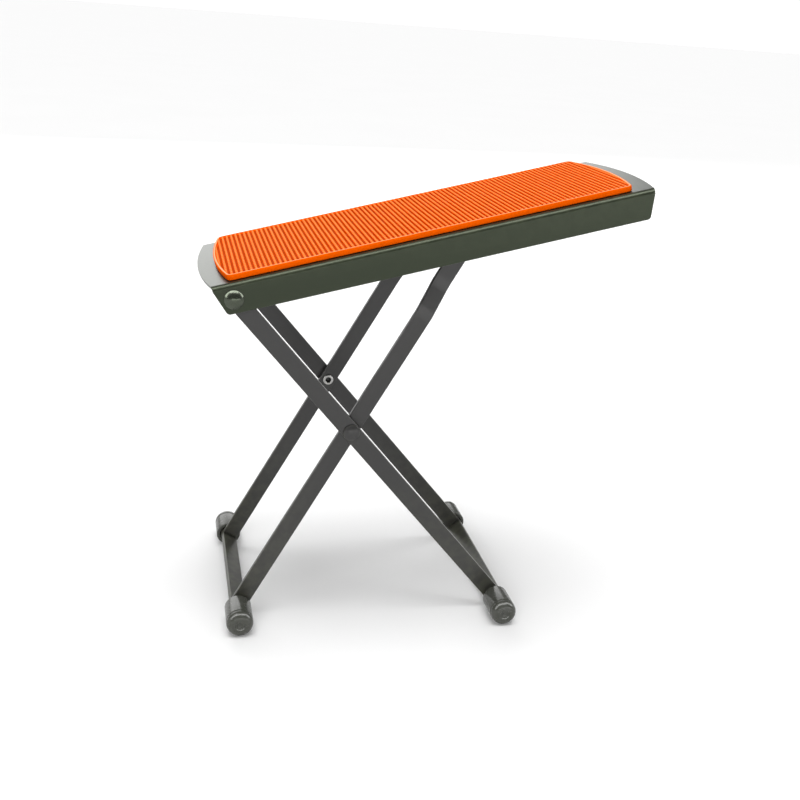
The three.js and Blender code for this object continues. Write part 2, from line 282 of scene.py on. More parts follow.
coat = powder_coat("black_coat", grey(0.018, 0.04), grey(0.022, 0.04), 1.52, NO_TINT)
olive_coat = powder_coat(
    "olive_black_coat", (0.006, 0.009, 0.004, 1), (0.009, 0.012, 0.006, 1), 1.47, OLIVE_TINT
)
print("coats:", coat.name, olive_coat.name)

# %% [markdown]
# ## Rivet plate
#
# The two rivets that carry the tray are a little different: they are plated a smoky grey
# and set after the tray is coated, so they mirror the cards more sharply than the coat
# does, and the setting tool leaves them slightly rubbed.

# %% Rivet plate
def rivet_plate():
    finish = Finish("smoky_rivet_plate")
    clouds = finish.noise(0.003, 3)
    scuffs = finish.noise(0.0012, 4, 0.65)
    tone = finish.blend(clouds, (0.055, 0.066, 0.045, 1), (0.085, 0.092, 0.075, 1))
    finish.set(Base_Color=tone, Metallic=0.85, Roughness=0.17 + 0.08 * scuffs)
    finish.bump(scuffs, 0.000006)
    return finish.material


smoky = rivet_plate()
print("rivets:", smoky.name)

# %% [markdown]
# ## Orange mat rubber
#
# The mat is moulded in one strong orange. The mould leaves a fine satin texture, and the
# rubber is given almost no gloss, so its light and shade are painted into the colour: the
# crests of the ribs get a paler painted highlight and the raised rim the palest, while the
# grooves get a painted shade of deep red orange. Where a point lies between groove and
# crest is known when the mat is drawn, so it is written on the mat itself, under a name
# that the finish reads back.

# %% Mat rubber
PAINTED_LIGHT_HEIGHT = "worn"
# Painted highlights: the crests and the rim top are paler orange where light would glance off
# them.
CREST_HIGHLIGHT_COLOUR = (1.0, 0.24, 0.055, 1)
RIM_HIGHLIGHT_COLOUR = (1.0, 0.42, 0.22, 1)


def mat_rubber():
    finish = Finish("orange_mat_rubber")
    clouds = finish.noise(0.04, 3)
    grain = finish.noise(0.0005, 2)
    worn = finish.painted(PAINTED_LIGHT_HEIGHT)
    # Painted shade in the grooves, the body colour on the walls, painted highlights on the
    # crests and on the rim top.
    shaded_groove = finish.blend(clouds, (0.46, 0.048, 0.0, 1), (0.50, 0.054, 0.0, 1))
    body = finish.blend(clouds, (0.90, 0.105, 0.0, 1), (0.96, 0.118, 0.0, 1))
    flank = finish.blend(finish.spread(worn, 0.08, 0.5), shaded_groove, body)
    crest = finish.blend(finish.spread(worn, 0.65, 0.9), flank, CREST_HIGHLIGHT_COLOUR)
    tone = finish.blend(finish.spread(worn, 0.95, 1.0), crest, RIM_HIGHLIGHT_COLOUR)
    finish.set(Base_Color=tone, Roughness=0.5 + 0.08 * clouds + 0.06 * grain)
    finish.set(Specular_IOR_Level=0.002)
    finish.bump(grain, 0.00002)
    return finish.material


orange = mat_rubber()
print("mat:", orange.name)

# %% [markdown]
# ## Black cap rubber
#
# The foot caps are dip-moulded: a dull dark grey, a little mottled, with a bloom of pale
# dust that shows most on the edges and where the cap has been handled.

# %% Cap rubber
DUST = grey(0.12)


def cap_rubber():
    finish = Finish("grey_black_cap_rubber")
    mottle = finish.noise(0.004, 4, 0.6)
    grain = finish.noise(0.0006, 2)
    bloom = finish.spread(finish.noise(0.009, 3), 0.45, 0.75)
    body = finish.blend(mottle, (0.040, 0.043, 0.033, 1), (0.064, 0.066, 0.054, 1))
    dusty = finish.blend(bloom * 0.25 + finish.edges(0.52, 0.6) * 0.3, body, DUST)
    finish.set(Base_Color=dusty, Roughness=0.2 + 0.12 * mottle)
    finish.bump(grain + 0.5 * mottle, 0.00002)
    return finish.material


rubber = cap_rubber()
print("caps:", rubber.name)

# %% [markdown]
# ## Zinc
#
# The rod, its push-on washers, the spacers under the rivets and the rivets' hollow tails
# are zinc plated steel: a cool bright metal with fine scratches round it and duller,
# yellowish stains. The scratches are a noise squeezed along Y, which draws it out into
# rings round the pieces.

# %% Zinc plate
ROUND_Y = (1.0, 18.0, 1.0)


def zinc_plate():
    finish = Finish("zinc_plate")
    stains = finish.noise(0.005, 4, 0.6)
    scratches = finish.noise(0.0015, 3, 0.6, ROUND_Y)
    clean = finish.blend(stains, (0.33, 0.335, 0.34, 1), (0.45, 0.44, 0.41, 1))
    finish.set(Base_Color=clean, Metallic=1.0, Roughness=0.24 + 0.2 * stains + 0.1 * scratches)
    finish.bump(scratches, 0.00002)
    return finish.material


zinc = zinc_plate()
print("zinc:", zinc.name)

# %% [markdown]
# ## Floor
#
# The floor is a plain pale sheet with the faintest unevenness. It runs far enough back to
# have no visible edge.

# %% Floor
FLOOR_SIZE = 200


def pale_floor():
    finish = Finish("pale_floor")
    patches = finish.noise(0.4, 2)
    white = finish.blend(patches, grey(0.86), grey(0.88))
    finish.set(Base_Color=white, Roughness=0.85 + 0.05 * patches)
    finish.set(Specular_IOR_Level=0.0)
    return finish.material


bpy.ops.object.select_all(action="DESELECT")
bpy.ops.mesh.primitive_plane_add(size=FLOOR_SIZE)
floor = bpy.context.active_object
floor.name = "floor"
floor.data.materials.append(pale_floor())
print("floor:", FLOOR_SIZE, "m wide")

# %% [markdown]
# ## Light
#
# Dark satin steel shows mostly what it mirrors, so what stands round it matters more than
# the lamps. Two kinds of light are kept apart. Soft ones that nothing mirrors light the
# floor, the mat and the shadows: a sun straight overhead, a very wide one for the sky, and
# a fill from the front. Bright cards draw the shine: a panel low behind for the tray's
# top, which lights the rest a little too, and four that only mirrors see, one high in
# front for the bends and the caps' shoulders, one on each side for the rivets and the
# edges of the bars, and a low strip in front. Between them the room is dim, and that
# leaves a dark line along each bend. The eye itself sees a plain white room.

# %% Room
ROOM_LIGHT = 0.22
SEEN_LIGHT = 1.02


def dim_room():
    world = bpy.data.worlds.new("dim_room")
    world.use_nodes = True
    room = Recipe(world.node_tree)
    seen = room.add("ShaderNodeLightPath", {}, {}, "Is Camera Ray")
    background = world.node_tree.nodes["Background"]
    background.inputs["Color"].default_value = (1, 1, 1, 1)
    strength = ROOM_LIGHT + seen * (SEEN_LIGHT - ROOM_LIGHT)
    plug(room.tree, background.inputs["Strength"], strength)
    return world


bpy.context.scene.world = dim_room()
bpy.context.scene.view_settings.view_transform = "Standard"
print("room light:", ROOM_LIGHT, "mirrored,", SEEN_LIGHT, "seen")


# %% Lamps
AIM = Vector((0, 0, 0.15))


def add_sun(name, light, width):
    """An even light from straight overhead that nothing mirrors."""
    bpy.ops.object.light_add(type="SUN", location=(0, 0, 2))
    sun = bpy.context.active_object
    sun.name = name
    sun.data.energy = light
    sun.data.angle = radians(width)
    sun.visible_glossy = False


def add_panel(name, place, size, shine):
    """A soft rectangular lamp that the camera itself doesn't see."""
    bpy.ops.object.light_add(type="AREA", location=place)
    panel = bpy.context.active_object
    panel.name = name
    panel.data.shape = "RECTANGLE"
    panel.data.size, panel.data.size_y = size
    panel.data.energy = shine * pi * size[0] * size[1]
    direction = AIM - Vector(place)
    panel.rotation_euler = direction.to_track_quat("-Z", "Y").to_euler()
    panel.visible_camera = False
    return panel


add_sun("soft_sun", 2.15, 42)
add_sun("soft_sky", 0.65, 140)
add_panel("panel_behind", (-0.25, 2.2, 0.85), (2.5, 1.3), 2.6)
add_panel("panel_fill", (-1.1, -2.1, 1.2), (1.2, 1.0), 5.5).visible_glossy = False
add_panel("card_above", (0, -0.7, 2.1), (2.4, 0.8), 8.0).visible_diffuse = False
add_panel("card_left", (-1.7, -0.5, 1.5), (0.8, 2.4), 8.0).visible_diffuse = False
add_panel("card_right", (1.8, -0.2, 1.5), (0.8, 2.4), 8.0).visible_diffuse = False
add_panel("card_front", (0.6, -2.3, 0.2), (3.6, 0.3), 3.6).visible_diffuse = False

# %% [markdown]
# ## The workbench
#
# Everything is modelled with the same few hand movements: pick parts of the mesh by
# where they are, then push, bevel, inset or extrude them. A finished piece is leaned into
# place, painted, and tied to the body that it moves with.

# %% Picking and pushing
KINDS = {"verts": "VERT", "edges": "EDGE", "faces": "FACE"}
NEAR = 0.02 * MM


def activate(piece):
    bpy.ops.object.select_all(action="DESELECT")
    piece.select_set(True)
    bpy.context.view_layer.objects.active = piece


@contextmanager
def editing(piece):
    activate(piece)
    bpy.ops.object.mode_set(mode="EDIT")
    yield
    bpy.ops.object.mode_set(mode="OBJECT")


def pick(kind, test):
    """Selects, in edit mode, the verts, edges or faces for which test says yes."""
    bpy.ops.mesh.select_mode(type=KINDS[kind])
    bpy.ops.mesh.select_all(action="DESELECT")
    mesh = bpy.context.edit_object.data
    shape = bmesh.from_edit_mesh(mesh)
    for part in getattr(shape, kind):
        if test(part):
            part.select_set(True)
    bmesh.update_edit_mesh(mesh)


def near(a, b):
    return abs(a - b) < NEAR


def push(offset, test):
    """Moves the vertices for which test says yes."""
    pick("verts", test)
    bpy.ops.transform.translate(value=offset)


def slice_at(place, normal):
    """Cuts the whole mesh along a plane, and keeps both halves joined."""
    bpy.ops.mesh.select_all(action="SELECT")
    bpy.ops.mesh.bisect(plane_co=place, plane_no=normal)


print("points closer than", NEAR / MM, "mm count as one")


# %% Blocks, holes and rounded edges
HOLE_SIDES = 48
DRILL_LENGTH = 0.2


def block(name, low, high):
    """A plain box between two corners: always only the start of a piece."""
    bpy.ops.object.select_all(action="DESELECT")
    bpy.ops.mesh.primitive_cube_add(size=1, location=(Vector(low) + Vector(high)) / 2)
    piece = bpy.context.active_object
    piece.name = name
    piece.data.name = name
    piece.scale = Vector(high) - Vector(low)
    bpy.ops.object.transform_apply(location=True, rotation=True, scale=True)
    return piece


def apply_modifier(piece, kind, **settings):
    activate(piece)
    modifier = piece.modifiers.new(kind.lower(), kind)
    for name, setting in settings.items():
        setattr(modifier, name, setting)
    bpy.ops.object.modifier_apply(modifier=modifier.name)


def ease(piece, width, segments=3, angle=40):
    """Rounds every edge sharper than angle."""
    apply_modifier(
        piece, "BEVEL", width=width, segments=segments,
        limit_method="ANGLE", angle_limit=radians(angle),
    )


def smooth(piece, angle=40):
    """Shades curves smooth and keeps flat faces flat."""
    activate(piece)
    bpy.ops.object.shade_smooth_by_angle(angle=radians(angle))
    apply_modifier(piece, "WEIGHTED_NORMAL", keep_sharp=True)


def drill(piece, radius, x, z):
    """Cuts a round hole along Y, right through, at (x, z)."""
    bpy.ops.mesh.primitive_cylinder_add(
        vertices=HOLE_SIDES, radius=radius, depth=DRILL_LENGTH,
        location=(x, 0, z), rotation=(pi / 2, 0, 0),
    )
    bit = bpy.context.active_object
    apply_modifier(piece, "BOOLEAN", operation="DIFFERENCE", object=bit, solver="EXACT")
    bpy.data.objects.remove(bit)


print("a drilled hole has", HOLE_SIDES, "sides")


# %% Finishing a piece
def copy_of(piece, name):
    """A copy with its own mesh."""
    twin = piece.copy()
    twin.data = piece.data.copy()
    twin.name = name
    twin.data.name = name
    bpy.context.scene.collection.objects.link(twin)
    return twin


def settle(piece, drawing, body, slot, paint, *nodes):
    """Leans a drawn piece into place, paints it and ties it to its body."""
    activate(piece)
    piece.matrix_world = drawing @ piece.matrix_world
    bpy.ops.object.transform_apply(location=True, rotation=True, scale=True)
    piece.data.materials.clear()
    piece.data.materials.append(paint)
    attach(piece, body)
    if nodes:
        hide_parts(*nodes)
    print("made", piece.name, "-", len(piece.data.polygons), "faces")


# %% [markdown]
# ## The tray
#
# The tray is one steel sheet, folded down along both long sides, with both ends cut to a
# slight bow and the folded sides cut back at a slant. A folded sheet could be a box made
# hollow, but it is truer to bend a thin shell and thicken it last: the wall is then even
# everywhere, as it is in real sheet. So a box loses its bottom and ends, its long top
# edges are bevelled into bends, its ends are pushed out column by column along an arc,
# and Solidify gives it the thickness of the sheet. The slants are drawn a little too long,
# because rounding the low corners shortens them.

# %% Bowed ends
SHEET = 1.5 * MM
BEND = 3 * MM
TRAY_BOW = 6.2 * MM
COLUMNS = 30


def bow_at(y, half, bow):
    """How far an end that bows out by bow in its middle is out at y."""
    radius = (half ** 2 + bow ** 2) / (2 * bow)
    return sqrt(radius ** 2 - y ** 2) - radius + bow


def bow_ends(left, right, half, bow):
    """Pushes both ends of the mesh in edit mode out along an arc."""
    shape = bmesh.from_edit_mesh(bpy.context.edit_object.data)
    ends = [v.co.copy() for v in shape.verts if near(v.co.x, left) or near(v.co.x, right)]
    for y in sorted({round(abs(co.y), 6) for co in ends}):
        out = bow_at(min(y, half), half, bow)
        push((-out, 0, 0), lambda v: near(v.co.x, left) and near(abs(v.co.y), y))
        push((out, 0, 0), lambda v: near(v.co.x, right) and near(abs(v.co.y), y))


print("the tray's ends bow out", TRAY_BOW / MM, "mm")


# %% Tray
BEND_SEGMENTS = 8
SLANT_LOW = 5.29 * MM
SLANT_HIGH = 4.37 * MM
SIDE_CORNER = 1.7 * MM
SHEET_EASE = 0.35 * MM
RIVET_HOLE = 2.85 * MM


def make_tray():
    low, high = extent("top_plate", tray)
    half = high.y
    left, right = low.x + TRAY_BOW, high.x - TRAY_BOW
    shell = block("tray_shell", (left, -half, low.z), (right, half, high.z))
    with editing(shell):
        pick("faces", lambda f: f.normal.z < -0.5 or abs(f.normal.x) > 0.5)
        bpy.ops.mesh.delete(type="FACE")
        pick("edges", lambda e: all(near(v.co.z, high.z) for v in e.verts)
             and near(abs(e.verts[0].co.y + e.verts[1].co.y), 2 * half))
        bpy.ops.mesh.bevel(offset=BEND, segments=BEND_SEGMENTS, affect="EDGES")
        flat = half - BEND
        for i in range(1, COLUMNS):
            slice_at((0, flat * (2 * i / COLUMNS - 1), 0), (0, 1, 0))
        push((SLANT_LOW, 0, 0), lambda v: near(v.co.x, left) and near(v.co.z, low.z))
        push((-SLANT_HIGH, 0, 0), lambda v: near(v.co.x, right) and near(v.co.z, low.z))
        bow_ends(left, right, half, TRAY_BOW)
        pick("verts", lambda v: near(v.co.z, low.z))
        bpy.ops.mesh.bevel(offset=SIDE_CORNER, segments=6, affect="VERTICES")
    apply_modifier(shell, "SOLIDIFY", thickness=SHEET, offset=-1, use_even_offset=True)
    drill(shell, RIVET_HOLE, 0, 0)
    ease(shell, SHEET_EASE, 3, 50)
    smooth(shell, 35)
    settle(shell, tray, "platform", "coat", olive_coat, "top_plate")


make_tray()

# %% [markdown]
# ## The mat
#
# The mat is a slab with bowed ends like the tray's, a smooth raised rim, and a field of
# ribs that run straight across. Each rib is nicked every few millimetres, which makes a
# row of small nubs that grip a shoe. The slab is a box: its corners are rounded, its ends
# bowed, its top inset and sunk. The ribs are one nub, drawn once and repeated by two Array
# modifiers, because a thousand nubs must each stay very light. What would stick out
# through the rim is cut away or pushed back into it.

# %% Mat slab
MAT_BOW = 5.6 * MM
MAT_CORNER = 3.2 * MM
MAT_EASE = 0.5 * MM
RIM = 1.8 * MM
RIB_DEPTH = 1.0 * MM


def mark_light_height(piece, measure):
    """Notes at each point of a mesh how high it lies, for painted shade and highlight: 0 deep
    down, 1 on the rim.
    """
    worn = piece.data.attributes.new(PAINTED_LIGHT_HEIGHT, "FLOAT", "POINT")
    for vertex in piece.data.vertices:
        worn.data[vertex.index].value = measure(vertex.co)


def make_slab(low, high, left, right):
    half = high.y
    slab = block("mat", (left, low.y, low.z), (right, high.y, high.z))
    with editing(slab):
        for i in range(1, COLUMNS):
            slice_at((0, half * (2 * i / COLUMNS - 1), 0), (0, 1, 0))
        bow_ends(left, right, half, MAT_BOW)
        pick("edges", lambda e: near(e.verts[0].co.x, e.verts[1].co.x)
             and near(abs(e.verts[0].co.y), half) and near(abs(e.verts[1].co.y), half)
             and not near(e.verts[0].co.z, e.verts[1].co.z))
        bpy.ops.mesh.bevel(offset=MAT_CORNER, segments=6, affect="EDGES")
        pick("faces", lambda f: f.normal.z > 0.9)
        bpy.ops.mesh.inset(thickness=RIM)
        bpy.ops.mesh.extrude_region_move(TRANSFORM_OT_translate={"value": (0, 0, -RIB_DEPTH)})
    ease(slab, MAT_EASE, 4, 50)
    floor_z = high.z - RIB_DEPTH

    # The rim top is marked 1 for its painted highlight, the groove floor 0 for painted shade.
    def measure(co):
        if near(co.z, high.z):
            return 1.0
        if near(co.z, floor_z) and abs(co.y) < half - RIM + NEAR:
            return 0.0
        return 0.5

    mark_light_height(slab, measure)
    return slab


# %% Mat ribs
RIB_PITCH = 2.88 * MM
RIB_WIDTH = 1.6 * MM
RIB_UNDER_RIM = 0.08 * MM
RIB_ROUND = 0.5 * MM
NUBS = 26
NICK = 0.6 * MM
NICK_DEPTH = 0.72 * MM
SUNK = 0.3 * MM
UNDER_RIM = 0.4 * MM
CREST_HIGHLIGHT = 0.92


def make_nub(across, x, top, length):
    """One nub of a rib, open where it meets the slab and its neighbours."""
    low = (x - RIB_WIDTH / 2, -across, top - RIB_DEPTH - SUNK)
    high = (x + RIB_WIDTH / 2, length - across, top)
    nub = block("nub", low, high)
    with editing(nub):
        pick("faces", lambda f: f.normal.z < -0.5 or abs(f.normal.y) > 0.5)
        bpy.ops.mesh.delete(type="FACE")
        pick("edges", lambda e: all(near(v.co.z, top) for v in e.verts)
             and near(e.verts[0].co.x, e.verts[1].co.x))
        bpy.ops.mesh.bevel(offset=RIB_ROUND, segments=2, affect="EDGES")
        slice_at((0, NICK - across, 0), (0, 1, 0))
        slice_at((0, length - NICK - across, 0), (0, 1, 0))
        shallow = top - RIB_DEPTH / 2
        push((0, 0, -NICK_DEPTH), lambda v: v.co.z > shallow
             and (near(v.co.y, -across) or near(v.co.y, length - across)))
    return nub


def make_ribs(low, high, left, right):
    half = high.y - RIM
    across = half + UNDER_RIM
    middle = (left + right) / 2
    crest = high.z - RIB_UNDER_RIM
    each_way = int(((right - left) / 2 + MAT_BOW - RIM) / RIB_PITCH)
    count = 2 * each_way + 1
    length = 2 * across / NUBS
    ribs = make_nub(across, middle - each_way * RIB_PITCH, crest, length)
    offsets = dict(use_relative_offset=False, use_constant_offset=True)
    apply_modifier(
        ribs, "ARRAY", count=NUBS, constant_offset_displace=(0, length, 0),
        use_merge_vertices=True, merge_threshold=NEAR, **offsets,
    )
    apply_modifier(
        ribs, "ARRAY", count=count, constant_offset_displace=(RIB_PITCH, 0, 0), **offsets
    )

    def reach(y):
        return (right - left) / 2 - RIM + bow_at(min(abs(y), half), half, MAT_BOW)

    with editing(ribs):
        pick("faces", lambda f: all(abs(v.co.x - middle) > reach(v.co.y) for v in f.verts))
        bpy.ops.mesh.delete(type="FACE")
        shape = bmesh.from_edit_mesh(ribs.data)
        for vertex in shape.verts:
            limit = reach(vertex.co.y) + UNDER_RIM
            vertex.co.x = middle + max(-limit, min(limit, vertex.co.x - middle))
        bmesh.update_edit_mesh(ribs.data)
        bpy.ops.mesh.select_all(action="SELECT")
        bpy.ops.mesh.dissolve_degenerate(threshold=1e-7)
    # The crests are marked high for their painted highlight, the nicks and lower walls low for
    # painted shade.
    mark_light_height(ribs, lambda co: max(0.0, CREST_HIGHLIGHT + (co.z - crest) / RIB_DEPTH))
    print("ribs:", count, "of", NUBS, "nubs, each", round(length / MM, 2), "mm long")
    return ribs


# %% Mat
def make_mat():
    low, high = extent("rubber_mat", tray)
    left, right = low.x + MAT_BOW, high.x - MAT_BOW
    slab = make_slab(low, high, left, right)
    ribs = make_ribs(low, high, left, right)
    activate(slab)
    ribs.select_set(True)
    bpy.ops.object.join()
    activate(slab)
    bpy.ops.object.shade_smooth_by_angle(angle=radians(50))
    settle(slab, tray, "platform", "mat_rubber", orange, "rubber_mat")


make_mat()

# %% [markdown]
# ## Flat bars
#
# The legs are flat bar with one end rounded over, where it turns on a rivet, and one end
# square, where it is welded. A box is enough of a start: the two short edges at the round
# end are bevelled by half the bar's width, which leaves a half circle. The inner bars
# also step inward near the top, to clear the tray's sides: the bar is cut across at the
# start and the end of the step, and everything beyond is pushed over, leaving the part in
# between at a slant. Rolled bar has eased edges, and these catch the light along their
# whole length. The bar is also cut across beside each hole, so the face round the hole
# stays small and the paler edge of the coat at its rim, partly rubbed and partly a painted
# highlight, does not spread along the leg.

# %% Bar sizes and round ends
EASE = 0.45 * MM
CROSS_HOLE = 2.55 * MM
bar_low, bar_high = extent("outer_leg_front", outer)
BAR_THICK = bar_high.y - bar_low.y
BAR_HALF = bar_high.z
HOLE_ROOM = 1.3 * BAR_HALF
END_ROUND = 0.999 * BAR_HALF
END_SEGMENTS = 14


def frame_hole(x):
    """Cuts the bar across on both sides of a hole to come, so its faces stay short."""
    slice_at((x - HOLE_ROOM, 0, 0), (1, 0, 0))
    slice_at((x + HOLE_ROOM, 0, 0), (1, 0, 0))


def round_end(x):
    """Rounds the end of a bar, in edit mode, over its whole width."""
    pick("edges", lambda e: all(near(v.co.x, x) for v in e.verts)
         and near(e.verts[0].co.z, e.verts[1].co.z))
    bpy.ops.mesh.bevel(offset=END_ROUND, segments=END_SEGMENTS, affect="EDGES")
    bpy.ops.mesh.select_all(action="SELECT")
    bpy.ops.mesh.remove_doubles(threshold=NEAR)


print("flat bar:", round(2 * BAR_HALF / MM, 2), "by", round(BAR_THICK / MM, 2), "mm")


# %% Outer legs
def make_outer_leg(side):
    node = f"outer_leg_{side}"
    low, high = extent(node, outer)
    leg = block(f"outer_bar_{side}", low, high)
    with editing(leg):
        round_end(low.x)
        frame_hole(low.x + BAR_HALF)
        frame_hole(0)
    drill(leg, RIVET_HOLE, low.x + BAR_HALF, 0)
    drill(leg, CROSS_HOLE, 0, 0)
    ease(leg, EASE)
    smooth(leg)
    settle(leg, outer, "outer_frame", "coat", coat, node)


# %% Inner legs, and both pairs
STEP_TO_ROD = 30.5 * MM
STEP_LENGTH = 21 * MM
STEP_ROUND = 5 * MM
ROD_HOLE = 3.25 * MM


def make_inner_leg(side):
    node = f"inner_leg_{side}"
    low, high = extent(node, inner)
    rod_x = high.x - BAR_HALF
    step_end = rod_x - STEP_TO_ROD
    step_start = step_end - STEP_LENGTH
    if side == "front":
        start, over = Vector((0, low.y, 0)), Vector((0, high.y - low.y - BAR_THICK, 0))
    else:
        start = Vector((0, high.y - BAR_THICK, 0))
        over = Vector((0, low.y - high.y + BAR_THICK, 0))
    leg = block(
        f"inner_bar_{side}",
        (low.x, start.y, low.z), (high.x, start.y + BAR_THICK, high.z),
    )
    with editing(leg):
        round_end(high.x)
        slice_at((step_start, 0, 0), (1, 0, 0))
        slice_at((step_end, 0, 0), (1, 0, 0))
        push(over, lambda v: v.co.x > step_end - NEAR)
        pick("edges", lambda e: near(abs(e.verts[0].co.z - e.verts[1].co.z), 2 * BAR_HALF)
             and (near(e.verts[0].co.x, step_start) or near(e.verts[0].co.x, step_end)))
        bpy.ops.mesh.bevel(offset=STEP_ROUND, segments=5, affect="EDGES")
        frame_hole(0)
        frame_hole(rod_x)
    drill(leg, CROSS_HOLE, 0, 0)
    drill(leg, ROD_HOLE, rod_x, 0)
    ease(leg, EASE)
    smooth(leg)
    settle(leg, inner, "inner_frame", "coat", coat, node)


for side in ("front", "rear"):
    make_outer_leg(side)
    make_inner_leg(side)

# %% [markdown]
# ## Crossbars
#
# Each pair of legs is welded to a length of the same flat bar, turned flat side on, whose
# ends go into the rubber caps.

# %% Crossbars
def make_crossbar(node, drawing, body):
    low, high = extent(node, drawing)
    bar = block(node.replace("crossbar", "foot_bar"), low, high)
    ease(bar, EASE)
    smooth(bar)
    settle(bar, drawing, body, "coat", coat, node)


make_crossbar("outer_crossbar", outer, "outer_frame")
make_crossbar("inner_crossbar", inner, "inner_frame")

# %% [markdown]
# ## Welds
#
# Outside each leg, where it stands on its crossbar, the weld has left a small hollow
# fillet. It is a short block in the corner whose outer edge is bevelled with a hollow
# profile.

# %% Welds
WELD = 1.3 * MM
WELD_END = 0.8 * MM
WELD_CUT = 0.9 * WELD
HOLLOW = 0.12


def make_weld(title, side, drawing):
    low, high = extent(f"{title}_crossbar", drawing)
    leg_low, leg_high = extent(f"{title}_leg_{side}", drawing)
    outward = -1 if side == "front" else 1
    upward = -1 if title == "outer" else 1
    face_x = low.x if title == "outer" else high.x
    face_y = leg_low.y if side == "front" else leg_high.y
    x = sorted((face_x, face_x + upward * WELD))
    y = sorted((face_y, face_y + outward * WELD))
    across = BAR_HALF - WELD_END
    weld = block(f"{title}_weld_{side}", (x[0], y[0], -across), (x[1], y[1], across))
    with editing(weld):
        pick("edges", lambda e: all(near(v.co.x, face_x + upward * WELD) for v in e.verts)
             and all(near(v.co.y, face_y + outward * WELD) for v in e.verts))
        bpy.ops.mesh.bevel(offset=WELD_CUT, segments=6, profile=HOLLOW, affect="EDGES")
    smooth(weld, 50)
    settle(weld, drawing, f"{title}_frame", "coat", coat)


for side in ("front", "rear"):
    make_weld("outer", side, outer)
    make_weld("inner", side, inner)

# %% [markdown]
# ## Turned pieces
#
# Caps, rivets, washers and the rod are all round about the Y axis. One point is dragged
# along half of the piece's outline, corner by corner, and the line is spun right round.
# The seam and the poles are merged shut and the faces turned outward.

# %% Turning
FINE_ROUND = 64
PLAIN_ROUND = 48


def arc(centre_radius, centre_y, size, start, end, steps):
    """Points on part of a circle, with start and end in degrees."""
    points = []
    for i in range(steps + 1):
        angle = radians(start + (end - start) * i / steps)
        points.append((centre_radius + size * cos(angle), centre_y + size * sin(angle)))
    return points


def turned(name, outline, steps):
    """A round piece about Y, from the (radius, y) corners of its outline."""
    bpy.ops.object.select_all(action="DESELECT")
    bpy.ops.mesh.primitive_plane_add(size=MM)
    piece = bpy.context.active_object
    piece.name = name
    piece.data.name = name
    with editing(piece):
        bpy.ops.mesh.select_mode(type="VERT")
        bpy.ops.mesh.select_all(action="SELECT")
        bpy.ops.mesh.merge(type="CENTER")
        bpy.ops.transform.translate(value=(outline[0][0], outline[0][1], 0))
        for (r0, y0), (r1, y1) in zip(outline, outline[1:]):
            step = (r1 - r0, y1 - y0, 0)
            bpy.ops.mesh.extrude_region_move(TRANSFORM_OT_translate={"value": step})
        bpy.ops.mesh.select_all(action="SELECT")
        bpy.ops.mesh.spin(steps=steps, angle=2 * pi, center=(0, 0, 0), axis=(0, 1, 0))
        bpy.ops.mesh.select_all(action="SELECT")
        bpy.ops.mesh.remove_doubles(threshold=NEAR / 4)
        bpy.ops.mesh.normals_make_consistent(inside=False)
    activate(piece)
    bpy.ops.object.shade_smooth_by_angle(angle=radians(35))
    return piece


def put(pattern, name, place, side, drawing, body, slot, paint, node):
    """Places a copy of a turned piece, turned half round on the front side."""
    piece = copy_of(pattern, name)
    half_turn = Matrix.Rotation(pi, 4, "X") if side == "front" else Matrix.Identity(4)
    piece.matrix_world = Matrix.Translation(place) @ half_turn
    settle(piece, drawing, body, slot, paint, node)
    return piece


print("turned pieces have", FINE_ROUND, "or", PLAIN_ROUND, "sides")

# %% [markdown]
# ## Foot caps
#
# A cap is a thick rubber cup. Its outer end is rounded over to a small flat face with a
# dimple, where the moulding was fed, and its open rim is slightly rolled. A shallow groove
# runs round it just before the rounded end.

# %% Foot caps
CAP_ROUND = 4.2 * MM
CAP_FLOOR = 4.5 * MM
CAP_WALL = 2.5 * MM
RIM_ROUND = 0.6 * MM
DIMPLE = 2.0 * MM
FACE_SUNK = 0.35 * MM
DIMPLE_DEPTH = 0.7 * MM
GROOVE = 0.55 * MM
GROOVE_WIDTH = 1.2 * MM
GROOVE_SLOPE = 0.4 * MM
GROOVE_TO_SHOULDER = 1.0 * MM
FACE_OUTER = 0.72
FACE_INNER = 0.66


